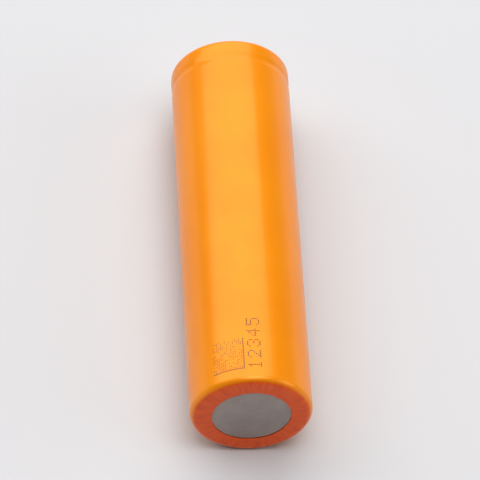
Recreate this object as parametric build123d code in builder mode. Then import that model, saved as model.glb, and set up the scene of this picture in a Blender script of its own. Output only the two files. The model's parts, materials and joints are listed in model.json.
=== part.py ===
from build123d import *
from math import asin, degrees
import os

# Cylindrical lithium-ion cell, flat-top type, in a heat-shrunk film sleeve. Millimetres, +Z up.
# The cell lies on its side along Y: negative end towards -Y, positive end towards +Y.
# The origin is on the ground, midway along the cell. In the comments and names below, h is the
# distance along the cell from the outermost face of its negative end.

# ---- outside ----
overall_length = 65.1
cell_diameter = 18.3
sleeve_wall = 0.09

# ---- can ----
can_wall = 0.22
can_bottom = 0.30
can_corner_radius = 1.0            # outer radius between bottom and wall
coin_ring_inset = 0.5              # shallow ring stamped in the bottom, inside the sleeve's edge
coin_ring_width = 0.2
coin_ring_depth = 0.05
cap_height_above_crimp = 0.80      # terminal face above the crimped rim
bead_depth = 1.0                   # rolled groove that carries the sealed head
bead_width = 1.37                  # from the start of the groove to the middle of its shelf
bead_slope = 0.40                  # how far the groove's lower flank leans
bead_entry_radius = 0.40           # bend radii are on the middle of the wall
bead_nose_radius = 0.45
bead_shelf_radius = 0.30
crimp_shoulder_radius = 0.55
crimp_lip = 2.46                   # how far the crimped rim turns in

# ---- sealed head, from the crimped rim down ----
gasket_lip = 0.35
gasket_floor = 0.45
gasket_wall = 0.50
gasket_lip_reach = 0.30            # how far the lip shows inside the crimped rim
gasket_seat = 1.04                 # width of the gasket's floor under the discs
cap_thickness = 0.40
cap_foot_inset = 1.3               # from the crimped rim to the foot of the cap's slope
cap_slope_run = 1.0
cap_foot_bend = 0.35
cap_face_bend = 0.45
cap_windows = 4
cap_window_depth = 2.2
cap_window_width = 2.2
cap_window_height = 0.65
cap_window_sill = 0.22             # above the cap's flange
ptc_thickness = 0.35
ptc_width = 2.8
vent_thickness = 0.30
vent_dish_depth = 0.83
vent_button_depth = 0.50
vent_rim = 1.9
vent_slope_run = 0.9
vent_button_radius = 1.7
vent_bend = 0.30
vent_score_inset = 1.2             # from the edge of the dish's floor
vent_score_width = 0.30
vent_score_depth = 0.15
head_stack_clearance = 0.04        # between the discs and the gasket's wall

# ---- current interrupt below the diaphragm ----
base_plate_overhang = 0.1          # past the edge of the dish's floor
base_plate_thickness = 0.40
base_plate_holes = 6
base_plate_hole_radius = 0.6
base_plate_hole_inset = 2.0        # from the plate's edge to the circle of holes
cid_skirt = 0.35
cid_lip = 0.15
cid_lip_reach = 0.25
cid_ring_width = 1.0               # how far the ring covers the plate's edge
cid_clearance = 0.05

# ---- washer and sleeve folds ----
washer_thickness = 0.25
washer_edge_clearance = 0.06
negative_fold = 3.25               # how far the film turns in over the can's bottom
positive_fold_overlap = 1.1        # how far it covers the washer
sleeve_dip = 0.25                  # where the film spans the rolled groove
sleeve_dip_bend = 0.50

# ---- insulators and centre pin ----
insulator_thickness = 0.30
top_insulator_clearance = 0.14
top_insulator_below_head = 0.70
top_insulator_hole_radius = 1.4
top_insulator_vents = 3
top_insulator_vent_radius = 0.8
top_insulator_vent_circle = 5.2
tab_slot_clearance = 0.30
pin_radius = 1.5
pin_wall = 0.25
pin_seat = 0.40                    # width of insulator under the pin's end
pin_side_clearance = 0.30
pin_slit = 0.35
pin_end_clearance = 1.2

# ---- wound roll ----
separator_thickness = 0.020
positive_thickness = 0.160
negative_thickness = 0.160
winding_clearance = 0.001          # between one layer and the next
roll_side_clearance = 0.12
roll_end_clearance = 0.15
electrode_margin = 0.75            # each layer reaches this much further than the next
roll_tape_thickness = 0.05
roll_tape_margin = 4.0

# ---- current tabs ----
tab_thickness = 0.10
tab_width = 4.0
tab_tape_thickness = 0.025
tab_tape_overlap = 0.5             # each side of the tab
tab_pocket_clearance = 0.1
tab_leg_margin = 8.0               # from the leg's end to the far edge of its electrode
tab_exit = 0.02                    # the curved leg ends this far outside the roll
tab_flattening = 0.20              # length over which the curved leg becomes flat
tab_bend_radius = 0.20
tab_fold_straight = 0.05
positive_tab_half_turn = 16        # counted from the core; even ones are on the upper side
negative_tab_turns_in = 1          # counted from the outside of the roll
positive_tab_fold_inset = 2.15     # from the opening under the base plate to the fold
positive_tab_end_reach = 1.5
negative_tab_end_reach = 2.2

# ---- derived places, from the outside in ----
cell_radius = cell_diameter / 2
can_radius = cell_radius - sleeve_wall
can_inner_radius = can_radius - can_wall
can_inner_corner = can_corner_radius - can_wall
wall_middle_radius = can_radius - can_wall / 2
bottom_outside = sleeve_wall
bottom_inside = bottom_outside + can_bottom
wall_start = bottom_inside + can_corner_radius   # above both corner radii

crimp_inner_radius = can_radius - crimp_lip
crimp_top = overall_length - cap_height_above_crimp
crimp_middle = crimp_top - can_wall / 2
washer_top = crimp_top + washer_thickness
gasket_top = crimp_top - can_wall
cap_flange_top = gasket_top - gasket_lip
ptc_top = cap_flange_top - cap_thickness
vent_top = ptc_top - ptc_thickness
gasket_floor_top = vent_top - vent_thickness
shelf_top = gasket_floor_top - gasket_floor
shelf_middle = shelf_top - can_wall / 2
bead_start = shelf_middle - bead_width
bead_nose = wall_middle_radius - bead_depth
gasket_bore = can_inner_radius - gasket_wall
gasket_floor_inner_radius = gasket_bore - gasket_seat
stack_radius = gasket_bore - head_stack_clearance
cap_foot_radius = crimp_inner_radius - cap_foot_inset
cap_face_radius = cap_foot_radius - cap_slope_run
ptc_inner_radius = stack_radius - ptc_width

vent_dish_radius = stack_radius - vent_rim - vent_slope_run
vent_score_radius = vent_dish_radius - vent_score_inset
vent_middle = vent_top - vent_thickness / 2
dish_middle = vent_middle - vent_dish_depth
dish_top = dish_middle + vent_thickness / 2
dish_underside = dish_middle - vent_thickness / 2
button_middle = dish_middle - vent_button_depth
base_plate_radius = vent_dish_radius + base_plate_overhang
base_plate_hole_circle = base_plate_radius - base_plate_hole_inset
base_plate_top = button_middle - vent_thickness / 2
base_plate_underside = base_plate_top - base_plate_thickness
cid_underside = base_plate_underside - cid_lip
cid_bore = base_plate_radius + cid_clearance
cid_lip_radius = base_plate_radius - cid_lip_reach

# Film and washer: the film's bend over the crimped rim clears the rim's own bend by the washer.
sleeve_shoulder_radius = crimp_shoulder_radius + can_wall / 2 + washer_thickness
washer_inner_radius = cap_foot_radius
washer_outer_radius = can_radius - sleeve_shoulder_radius - washer_edge_clearance
positive_fold_radius = washer_outer_radius - positive_fold_overlap
negative_fold_radius = cell_radius - negative_fold
coin_ring_radius = negative_fold_radius - coin_ring_inset

top_insulator_top = cid_underside - top_insulator_below_head
top_insulator_bottom = top_insulator_top - insulator_thickness
bottom_insulator_bottom = bottom_inside + tab_thickness
bottom_insulator_top = bottom_insulator_bottom + insulator_thickness
roll_top = top_insulator_bottom - roll_end_clearance
roll_bottom = bottom_insulator_top + roll_end_clearance
negative_top = roll_top - electrode_margin
negative_bottom = roll_bottom + electrode_margin
positive_top = negative_top - electrode_margin
positive_bottom = negative_bottom + electrode_margin

# The roll is four layers wound together, with room for the centre pin in its core. Each half
# turn is a half circle, and the two centres that the half circles take in turn stand one growth
# apart, so each runs smoothly into the next.
roll_core_radius = pin_radius + pin_side_clearance
negative_at = separator_thickness + winding_clearance
outer_separator_at = negative_at + negative_thickness + winding_clearance
outer_separator_end = outer_separator_at + separator_thickness
positive_at = outer_separator_end + winding_clearance
pitch = positive_at + positive_thickness + winding_clearance
growth = pitch / 2
winding_limit = can_inner_radius - roll_side_clearance - roll_tape_thickness
winding_room = winding_limit - roll_core_radius - outer_separator_end - growth / 2
last_half_turn = int(winding_room / growth)
roll_radius = winding_limit - winding_room + last_half_turn * growth

# A tab lies in a pocket of its electrode, on the bare foil, under its tape.
tab_pocket_depth = tab_thickness + tab_tape_thickness
tab_tape_width = tab_width + 2 * tab_tape_overlap
tab_fold_height = 2 * tab_bend_radius + tab_fold_straight
negative_tab_half_turn = last_half_turn - 2 * negative_tab_turns_in - 1 + last_half_turn % 2

# ---- planes and axis ----
axis_start = Vector(0, -overall_length / 2, cell_radius)
cell_axis = Axis(axis_start, (0, 1, 0))
# turned pieces: local X is the radius, local Y is h
profile_plane = Plane(origin=axis_start, x_dir=(1, 0, 0), z_dir=(0, 0, 1))
# bent tabs, seen from the side: local X is the height above the axis, local Y is h
side_plane = Plane(origin=axis_start, x_dir=(0, 0, 1), z_dir=(-1, 0, 0))


def cross_section(h):
    """Plane across the cell at h: its local Y is up, and it faces the positive end."""
    return Plane(origin=axis_start + (0, h, 0), x_dir=(-1, 0, 0), z_dir=(0, 1, 0))


def winding_centre(half_turn):
    """Sideways place of the centre of a half turn."""
    return growth / 2 if half_turn % 2 else -growth / 2


def winding_radius(half_turn, layer_at):
    """Inner radius of a layer in a half turn."""
    return roll_core_radius + growth * half_turn + layer_at


def wound_strip(layer_at, thickness, first, last, h):
    """End view of one layer of the roll, from half turn first to half turn last."""
    with BuildSketch(cross_section(h)) as strip:
        with BuildLine():
            for half_turn in range(first, last + 1):
                centre = (winding_centre(half_turn), 0)
                inner = winding_radius(half_turn, layer_at)
                start = 180 * (half_turn % 2)
                CenterArc(centre, inner, start, 180)
                CenterArc(centre, inner + thickness, start, 180)
            for half_turn, end in ((first, 1), (last, -1)):
                side = -end if half_turn % 2 else end
                inner = winding_centre(half_turn) + side * winding_radius(half_turn, layer_at)
                Line((inner, 0), (inner + side * thickness, 0))
        make_face()
    return strip.sketch


def curved_strip(half_turn, inner, thickness, width, h):
    """End view of a flat strip bent to the curve of one half turn of the roll."""
    middle = 270 if half_turn % 2 else 90
    half_angle = degrees(asin(width / 2 / inner))
    centre = Vector(winding_centre(half_turn), 0)
    with BuildSketch(cross_section(h)) as strip:
        with BuildLine():
            for radius in (inner, inner + thickness):
                CenterArc(centre, radius, middle - half_angle, 2 * half_angle)
            for angle in (middle - half_angle, middle + half_angle):
                outwards = Vector(1, 0).rotate(Axis.Z, angle)
                Line(centre + outwards * inner, centre + outwards * (inner + thickness))
        make_face()
    return strip.sketch


def tab_height(half_turn, tab_inner):
    """Height above the axis of the middle of a tab's flat part; negative on the lower side."""
    height = tab_inner + tab_thickness / 2
    return -height if half_turn % 2 else height


def flat_strip(half_turn, tab_inner, h):
    """End view of a tab where it has become flat."""
    with BuildSketch(cross_section(h)) as strip:
        with Locations((winding_centre(half_turn), tab_height(half_turn, tab_inner))):
            Rectangle(tab_width, tab_thickness)
    return strip.sketch


def tab_slot(half_turn, tab_inner):
    """Slot for a tab in an insulator, in the sketch that is open."""
    deep = tab_inner + tab_thickness + tab_slot_clearance
    shallow = (tab_inner**2 - (tab_width / 2) ** 2) ** 0.5 - tab_slot_clearance
    side = -1 if half_turn % 2 else 1
    with Locations((winding_centre(half_turn), side * (deep + shallow) / 2)):
        Rectangle(tab_width + 2 * tab_slot_clearance, deep - shallow, mode=Mode.SUBTRACT)


positive_tab_foil = positive_thickness - tab_pocket_depth
positive_tab_inner = winding_radius(positive_tab_half_turn, positive_at) + positive_tab_foil
negative_tab_foil = negative_thickness - tab_pocket_depth
negative_tab_inner = winding_radius(negative_tab_half_turn, negative_at) + negative_tab_foil

os.makedirs("parts", exist_ok=True)

# ---- shrink sleeve: film that covers the can and turns in over both ends ----
film_radius = cell_radius - sleeve_wall / 2
film_at_bottom = sleeve_wall / 2
film_on_washer = washer_top + sleeve_wall / 2
with BuildPart() as shrink_sleeve:
    with BuildSketch(profile_plane):
        with BuildLine() as film:
            FilletPolyline(
                (negative_fold_radius, film_at_bottom),
                (film_radius, film_at_bottom),
                (film_radius, bead_start),
                (film_radius - sleeve_dip, (bead_start + shelf_top) / 2),
                (film_radius, shelf_top),
                (film_radius, film_on_washer),
                (positive_fold_radius, film_on_washer),
                radius=[
                    can_corner_radius + sleeve_wall / 2,
                    sleeve_dip_bend,
                    sleeve_dip_bend,
                    sleeve_dip_bend,
                    sleeve_shoulder_radius + sleeve_wall / 2,
                ],
            )
        trace(film.line, sleeve_wall)
    revolve(axis=cell_axis)
shrink_sleeve.part.label = "shrink_sleeve"
export_step(shrink_sleeve.part, "parts/shrink_sleeve.step")

# ---- can: deep-drawn, with a rolled groove and a crimped rim ----
with BuildPart() as can:
    with BuildSketch(profile_plane):
        with BuildLine():
            FilletPolyline(
                (0, bottom_outside),
                (can_radius, bottom_outside),
                (can_radius, wall_start),
                (can_inner_radius, wall_start),
                (can_inner_radius, bottom_inside),
                (0, bottom_inside),
                radius=[0, can_corner_radius, 0, 0, can_inner_corner, 0],
                close=True,
            )
        make_face()
        with BuildLine():
            Polyline(
                (coin_ring_radius - coin_ring_width / 2, bottom_outside),
                (coin_ring_radius + coin_ring_width / 2, bottom_outside),
                (coin_ring_radius, bottom_outside + coin_ring_depth),
                close=True,
            )
        make_face(mode=Mode.SUBTRACT)
        with BuildLine() as wall:
            FilletPolyline(
                (wall_middle_radius, wall_start),
                (wall_middle_radius, bead_start),
                (bead_nose, bead_start + bead_slope),
                (bead_nose, shelf_middle),
                (wall_middle_radius, shelf_middle),
                (wall_middle_radius, crimp_middle),
                (crimp_inner_radius, crimp_middle),
                radius=[
                    bead_entry_radius,
                    bead_entry_radius,
                    bead_nose_radius,
                    bead_shelf_radius,
                    crimp_shoulder_radius,
                ],
            )
        trace(wall.line, can_wall)
    revolve(axis=cell_axis)
can.part.label = "can"
export_step(can.part, "parts/can.step")

# ---- insulating washer: fibre ring on the crimped rim ----
with BuildPart() as insulating_washer:
    with BuildSketch(cross_section(crimp_top)):
        Circle(washer_outer_radius)
        Circle(washer_inner_radius, mode=Mode.SUBTRACT)
    extrude(amount=washer_thickness)
insulating_washer.part.label = "insulating_washer"
export_step(insulating_washer.part, "parts/insulating_washer.step")

# ---- crimp gasket: seals and insulates the head inside the can's rim ----
gasket_lower_corner = bead_shelf_radius - can_wall / 2
gasket_upper_corner = crimp_shoulder_radius - can_wall / 2
with BuildPart() as crimp_gasket:
    with BuildSketch(profile_plane):
        with BuildLine():
            FilletPolyline(
                (gasket_floor_inner_radius, shelf_top),
                (can_inner_radius, shelf_top),
                (can_inner_radius, gasket_top),
                (crimp_inner_radius - gasket_lip_reach, gasket_top),
                (crimp_inner_radius - gasket_lip_reach, cap_flange_top),
                (gasket_bore, cap_flange_top),
                (gasket_bore, gasket_floor_top),
                (gasket_floor_inner_radius, gasket_floor_top),
                radius=[0, gasket_lower_corner, gasket_upper_corner, 0, 0, 0, 0, 0],
                close=True,
            )
        make_face()
    revolve(axis=cell_axis)
crimp_gasket.part.label = "crimp_gasket"
export_step(crimp_gasket.part, "parts/crimp_gasket.step")

# ---- positive cap: the terminal, a stamped hat with vent windows in its slope ----
cap_flange_middle = cap_flange_top - cap_thickness / 2
cap_face_middle = overall_length - cap_thickness / 2
with BuildPart() as positive_cap:
    with BuildSketch(profile_plane):
        with BuildLine() as hat:
            FilletPolyline(
                (stack_radius, cap_flange_middle),
                (cap_foot_radius, cap_flange_middle),
                (cap_face_radius, cap_face_middle),
                (0, cap_face_middle),
                radius=[cap_foot_bend, cap_face_bend],
            )
        trace(hat.line, cap_thickness)
    revolve(axis=cell_axis)
    with BuildSketch(cross_section(cap_flange_top + cap_window_sill)):
        with PolarLocations((cap_foot_radius + cap_face_radius) / 2, cap_windows, start_angle=45):
            Rectangle(cap_window_depth, cap_window_width)
    extrude(amount=cap_window_height, mode=Mode.SUBTRACT)
positive_cap.part.label = "positive_cap"
export_step(positive_cap.part, "parts/positive_cap.step")

# ---- PTC disc: resettable over-current ring ----
with BuildPart() as ptc_disc:
    with BuildSketch(cross_section(vent_top)):
        Circle(stack_radius)
        Circle(ptc_inner_radius, mode=Mode.SUBTRACT)
    extrude(amount=ptc_thickness)
ptc_disc.part.label = "ptc_disc"
export_step(ptc_disc.part, "parts/ptc_disc.step")

# ---- vent disc: dished diaphragm with a tear line and a centre button ----
with BuildPart() as vent_disc:
    with BuildSketch(profile_plane):
        with BuildLine() as dish:
            FilletPolyline(
                (stack_radius, vent_middle),
                (vent_dish_radius + vent_slope_run, vent_middle),
                (vent_dish_radius, dish_middle),
                (vent_button_radius + vent_slope_run, dish_middle),
                (vent_button_radius, button_middle),
                (0, button_middle),
                radius=vent_bend,
            )
        trace(dish.line, vent_thickness)
        with BuildLine():
            Polyline(
                (vent_score_radius - vent_score_width / 2, dish_top),
                (vent_score_radius + vent_score_width / 2, dish_top),
                (vent_score_radius, dish_top - vent_score_depth),
                close=True,
            )
        make_face(mode=Mode.SUBTRACT)
    revolve(axis=cell_axis)
vent_disc.part.label = "vent_disc"
export_step(vent_disc.part, "parts/vent_disc.step")

# ---- CID insulator: plastic cup that holds the base plate under the diaphragm ----
with BuildPart() as cid_insulator:
    with BuildSketch(profile_plane):
        with BuildLine():
            Polyline(
                (base_plate_radius - cid_ring_width, dish_underside),
                (base_plate_radius - cid_ring_width, base_plate_top),
                (cid_bore, base_plate_top),
                (cid_bore, base_plate_underside),
                (cid_lip_radius, base_plate_underside),
                (cid_lip_radius, cid_underside),
                (cid_bore + cid_skirt, cid_underside),
                (cid_bore + cid_skirt, dish_underside),
                close=True,
            )
        make_face()
    revolve(axis=cell_axis)
cid_insulator.part.label = "cid_insulator"
export_step(cid_insulator.part, "parts/cid_insulator.step")

# ---- CID base plate: carries the positive tab, lets gas through to the diaphragm ----
with BuildPart() as cid_base_plate:
    with BuildSketch(cross_section(base_plate_underside)):
        Circle(base_plate_radius)
        with PolarLocations(base_plate_hole_circle, base_plate_holes):
            Circle(base_plate_hole_radius, mode=Mode.SUBTRACT)
    extrude(amount=base_plate_thickness)
cid_base_plate.part.label = "cid_base_plate"
export_step(cid_base_plate.part, "parts/cid_base_plate.step")

# ---- top insulator: disc over the roll, slotted for the positive tab ----
with BuildPart() as top_insulator:
    with BuildSketch(cross_section(top_insulator_bottom)):
        Circle(can_inner_radius - top_insulator_clearance)
        Circle(top_insulator_hole_radius, mode=Mode.SUBTRACT)
        with PolarLocations(top_insulator_vent_circle, top_insulator_vents, start_angle=-90):
            Circle(top_insulator_vent_radius, mode=Mode.SUBTRACT)
        tab_slot(positive_tab_half_turn, positive_tab_inner)
    extrude(amount=insulator_thickness)
top_insulator.part.label = "top_insulator"
export_step(top_insulator.part, "parts/top_insulator.step")

# ---- bottom insulator: disc under the roll, notched for the negative tab ----
with BuildPart() as bottom_insulator:
    with BuildSketch(cross_section(bottom_insulator_bottom)):
        Circle(can_inner_radius - can_inner_corner)
        Circle(pin_radius - pin_seat, mode=Mode.SUBTRACT)
        tab_slot(negative_tab_half_turn, negative_tab_inner)
    extrude(amount=insulator_thickness)
bottom_insulator.part.label = "bottom_insulator"
export_step(bottom_insulator.part, "parts/bottom_insulator.step")

# ---- separators: microporous film each side of the negative electrode ----
with BuildPart() as separator_inner:
    extrude(wound_strip(0, separator_thickness, 0, last_half_turn, roll_bottom), roll_top - roll_bottom)
separator_inner.part.label = "separator_inner"
export_step(separator_inner.part, "parts/separator_inner.step")

with BuildPart() as separator_outer:
    outer_film = wound_strip(outer_separator_at, separator_thickness, 0, last_half_turn, roll_bottom)
    extrude(outer_film, roll_top - roll_bottom)
separator_outer.part.label = "separator_outer"
export_step(separator_outer.part, "parts/separator_outer.step")

# ---- electrodes: coated foils, each with a bare pocket for its tab ----
tab_pocket_width = tab_tape_width + tab_pocket_clearance
positive_leg_start = positive_bottom + tab_leg_margin
negative_leg_end = negative_top - tab_leg_margin
with BuildPart() as positive_electrode:
    foil = wound_strip(positive_at, positive_thickness, 2, last_half_turn - 2, positive_bottom)
    extrude(foil, positive_top - positive_bottom)
    pocket = curved_strip(
        positive_tab_half_turn,
        positive_tab_inner,
        tab_pocket_depth + winding_clearance / 2,
        tab_pocket_width,
        positive_top,
    )
    extrude(pocket, positive_leg_start - tab_pocket_clearance - positive_top, mode=Mode.SUBTRACT)
positive_electrode.part.label = "positive_electrode"
export_step(positive_electrode.part, "parts/positive_electrode.step")

with BuildPart() as negative_electrode:
    foil = wound_strip(negative_at, negative_thickness, 1, last_half_turn, negative_bottom)
    extrude(foil, negative_top - negative_bottom)
    pocket = curved_strip(
        negative_tab_half_turn,
        negative_tab_inner,
        tab_pocket_depth + winding_clearance / 2,
        tab_pocket_width,
        negative_bottom,
    )
    extrude(pocket, negative_leg_end + tab_pocket_clearance - negative_bottom, mode=Mode.SUBTRACT)
negative_electrode.part.label = "negative_electrode"
export_step(negative_electrode.part, "parts/negative_electrode.step")

# ---- positive tab: up the foil, flattened, over the insulator, folded back under the plate ----
positive_leg_end = roll_top + tab_exit
positive_flat_start = positive_leg_end + tab_flattening
tab_on_plate = base_plate_underside - tab_thickness / 2
tab_over_insulator = tab_on_plate - tab_fold_height
positive_tab_fold = positive_tab_fold_inset - cid_lip_radius
positive_tab_height = tab_height(positive_tab_half_turn, positive_tab_inner)
positive_tab_plane = side_plane.offset(winding_centre(positive_tab_half_turn))


def positive_leg(h):
    """End view of the positive tab's curved leg."""
    return curved_strip(positive_tab_half_turn, positive_tab_inner, tab_thickness, tab_width, h)


with BuildPart() as positive_tab:
    extrude(positive_leg(positive_leg_start), positive_leg_end - positive_leg_start)
    flat_end = flat_strip(positive_tab_half_turn, positive_tab_inner, positive_flat_start)
    loft([positive_leg(positive_leg_end), flat_end])
    with BuildSketch(positive_tab_plane):
        with BuildLine() as folds:
            FilletPolyline(
                (positive_tab_height, positive_flat_start),
                (positive_tab_height, tab_over_insulator),
                (positive_tab_fold, tab_over_insulator),
                (positive_tab_fold, tab_on_plate),
                (positive_tab_end_reach, tab_on_plate),
                radius=tab_bend_radius,
            )
        trace(folds.line, tab_thickness)
    extrude(amount=tab_width / 2, both=True)
positive_tab.part.label = "positive_tab"
export_step(positive_tab.part, "parts/positive_tab.step")

with BuildPart() as positive_tab_tape:
    tape = curved_strip(
        positive_tab_half_turn,
        positive_tab_inner + tab_thickness,
        tab_tape_thickness,
        tab_tape_width,
        positive_leg_start,
    )
    extrude(tape, positive_top - positive_leg_start)
positive_tab_tape.part.label = "positive_tab_tape"
export_step(positive_tab_tape.part, "parts/positive_tab_tape.step")

# ---- negative tab: down the foil, flattened, bent in under the roll and onto the can's bottom ----
negative_leg_start = roll_bottom - tab_exit
negative_flat_start = negative_leg_start - tab_flattening
tab_on_bottom = bottom_inside + tab_thickness / 2
negative_tab_height = tab_height(negative_tab_half_turn, negative_tab_inner)
negative_tab_plane = side_plane.offset(winding_centre(negative_tab_half_turn))
with BuildPart() as negative_tab:
    leg = curved_strip(
        negative_tab_half_turn, negative_tab_inner, tab_thickness, tab_width, negative_leg_start
    )
    extrude(leg, negative_leg_end - negative_leg_start)
    loft([flat_strip(negative_tab_half_turn, negative_tab_inner, negative_flat_start), leg])
    with BuildSketch(negative_tab_plane):
        with BuildLine() as bend:
            FilletPolyline(
                (negative_tab_height, negative_flat_start),
                (negative_tab_height, tab_on_bottom),
                (negative_tab_end_reach, tab_on_bottom),
                radius=tab_bend_radius,
            )
        trace(bend.line, tab_thickness)
    extrude(amount=tab_width / 2, both=True)
negative_tab.part.label = "negative_tab"
export_step(negative_tab.part, "parts/negative_tab.step")

with BuildPart() as negative_tab_tape:
    tape = curved_strip(
        negative_tab_half_turn,
        negative_tab_inner + tab_thickness,
        tab_tape_thickness,
        tab_tape_width,
        negative_bottom,
    )
    extrude(tape, negative_leg_end - negative_bottom)
negative_tab_tape.part.label = "negative_tab_tape"
export_step(negative_tab_tape.part, "parts/negative_tab_tape.step")

# ---- roll end tape: one turn round the finished roll ----
with BuildPart() as roll_end_tape:
    with BuildSketch(cross_section(roll_bottom + roll_tape_margin)):
        Circle(roll_radius + roll_tape_thickness)
        Circle(roll_radius, mode=Mode.SUBTRACT)
    extrude(amount=roll_top - roll_bottom - 2 * roll_tape_margin)
roll_end_tape.part.label = "roll_end_tape"
export_step(roll_end_tape.part, "parts/roll_end_tape.step")

# ---- centre pin: slit steel tube that keeps the core open for gas ----
with BuildPart() as centre_pin:
    with BuildSketch(cross_section(bottom_insulator_top)):
        Circle(pin_radius)
        Circle(pin_radius - pin_wall, mode=Mode.SUBTRACT)
        with Locations((pin_radius, 0)):
            Rectangle(pin_radius, pin_slit, mode=Mode.SUBTRACT)
    extrude(amount=roll_top - pin_end_clearance - bottom_insulator_top)
centre_pin.part.label = "centre_pin"
export_step(centre_pin.part, "parts/centre_pin.step")
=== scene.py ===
# %% [markdown]
# # The looks of a cylindrical battery cell
# The cell is a drawn steel can in an orange shrink-film sleeve, with a stamped cap at its positive end.
# The CAD frame already holds every piece at its real size, inside and out. This lesson loads that frame,
# models the outer pieces again with the softness that film and sheet metal have, and gives every piece,
# the hidden ones too, a finish made of shader nodes.

# %% Load the frame
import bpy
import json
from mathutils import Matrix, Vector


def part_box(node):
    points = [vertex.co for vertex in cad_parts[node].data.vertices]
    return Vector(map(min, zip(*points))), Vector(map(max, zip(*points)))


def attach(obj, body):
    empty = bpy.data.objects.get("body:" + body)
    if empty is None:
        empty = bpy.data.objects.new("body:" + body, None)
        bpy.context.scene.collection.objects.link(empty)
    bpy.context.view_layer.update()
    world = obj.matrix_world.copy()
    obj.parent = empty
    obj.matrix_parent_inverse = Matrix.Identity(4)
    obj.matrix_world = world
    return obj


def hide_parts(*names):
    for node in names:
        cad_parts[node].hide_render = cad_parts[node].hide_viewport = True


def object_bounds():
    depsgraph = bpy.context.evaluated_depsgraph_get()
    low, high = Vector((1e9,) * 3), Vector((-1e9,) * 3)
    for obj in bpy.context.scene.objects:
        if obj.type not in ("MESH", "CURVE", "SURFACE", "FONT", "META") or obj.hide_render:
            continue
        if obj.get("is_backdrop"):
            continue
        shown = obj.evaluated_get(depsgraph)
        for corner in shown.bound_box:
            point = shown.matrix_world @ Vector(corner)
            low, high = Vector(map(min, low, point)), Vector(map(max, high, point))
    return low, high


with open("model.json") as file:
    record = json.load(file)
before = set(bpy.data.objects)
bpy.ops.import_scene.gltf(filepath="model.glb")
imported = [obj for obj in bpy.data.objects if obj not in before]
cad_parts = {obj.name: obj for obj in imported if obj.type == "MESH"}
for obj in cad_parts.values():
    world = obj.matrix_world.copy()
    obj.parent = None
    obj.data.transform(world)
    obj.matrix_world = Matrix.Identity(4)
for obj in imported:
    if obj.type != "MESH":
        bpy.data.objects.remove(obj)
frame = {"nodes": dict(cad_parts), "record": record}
cad_low, cad_high = (corner.copy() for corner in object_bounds())

import json
import math
import random

import bmesh
import bpy
from mathutils import Matrix, Vector

# %% [markdown]
# Everything is placed from the frame. The cell lies along Y, its negative end towards -Y, so one number
# places a thing along it: h, the distance from the outermost face of the negative end. Sizes below are
# written in millimetres times `mm`, because Blender and the frame count in metres.

# %% Places that the frame gives
mm = 0.001
body = "root"
negative_end = cad_low.y
positive_end = cad_high.y
cell_radius = (cad_high.z - cad_low.z) / 2
axis_height = (cad_high.z + cad_low.z) / 2
cell_centre = Vector((0, (negative_end + positive_end) / 2, axis_height))
can_low, can_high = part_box("can")
washer_low, washer_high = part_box("insulating_washer")
cap_low, cap_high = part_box("positive_cap")
film_wall = can_low.y - negative_end


def along(y):
    """h of a place that the frame gives as Y."""
    return y - negative_end


print("cell:", round(2 * cell_radius / mm, 2), "x", round(along(positive_end) / mm, 2), "mm")

# %% [markdown]
# The cell is looked at from high in front of its negative end, a little to the left, and the camera is
# rolled so that the far end leans left only slightly. A small object seen from 0.7 m has gentle
# perspective, so the lens is long: the far end comes out a little narrower than the near one, and no more.

# %% Camera
view_azimuth = math.radians(-8.0)
view_elevation = math.radians(53.0)
view_roll = math.radians(6.25)
view_distance = 0.72
view_lens = 355.0
to_camera = Vector((
    math.sin(view_azimuth) * math.cos(view_elevation),
    -math.cos(view_azimuth) * math.cos(view_elevation),
    math.sin(view_elevation),
))
camera = bpy.data.objects.new("camera", bpy.data.cameras.new("camera"))
bpy.context.scene.collection.objects.link(camera)
camera.data.lens = view_lens
camera.data.clip_start = 0.05
camera.data.clip_end = 20.0
camera.location = cell_centre + to_camera * view_distance
camera.rotation_mode = "QUATERNION"
level_turn = (-to_camera).to_track_quat("-Z", "Y")
camera.rotation_quaternion = level_turn @ Matrix.Rotation(view_roll, 3, "Z").to_quaternion()
bpy.context.scene.camera = camera
bpy.context.scene.view_settings.view_transform = "Standard"
print("camera at", [round(v, 3) for v in camera.location])

# %% [markdown]
# Shapes are built in a bmesh. Nearly every piece of a cell is turned about one axis, so the main helper
# draws a chain of edges through a few (radius, h) corners, and `turn` spins it. The corners are rounded
# first, each by a vertex bevel: for a bend of radius r through an angle t, its offset is r tan(t / 2).
# Merging the seam of a spin shuffles its faces, so they are sorted, and every run gives the same mesh.

# %% Modelling helpers
spin_steps = 160


def chain(bm, corners, closed=False):
    """Edges through (radius, h) corners, drawn beside the axis in the XY plane."""
    verts = [bm.verts.new((radius, h, 0)) for radius, h in corners]
    for first, second in zip(verts, verts[1:]):
        bm.edges.new((first, second))
    if closed:
        bm.edges.new((verts[-1], verts[0]))
    return verts


def round_corner(bm, vert, bend_radius, segments=6):
    """Round one corner of a chain to a bend radius."""
    before, after = (edge.other_vert(vert).co - vert.co for edge in vert.link_edges)
    bend_angle = math.pi - before.angle(after)
    offset = bend_radius * math.tan(bend_angle / 2)
    bmesh.ops.bevel(
        bm, geom=[vert], offset=offset, offset_type="OFFSET", segments=segments,
        profile=0.5, affect="VERTICES", material=-1,
    )


def sort_by_corners(bm):
    """Put edges and faces in the order of their corners, because merging shuffles them in each run."""
    bm.verts.index_update()
    for parts in (bm.edges, bm.faces):
        ordered = sorted(parts, key=lambda part: sorted(vert.index for vert in part.verts))
        for rank, part in enumerate(ordered):
            part.index = rank
        parts.sort()


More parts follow.
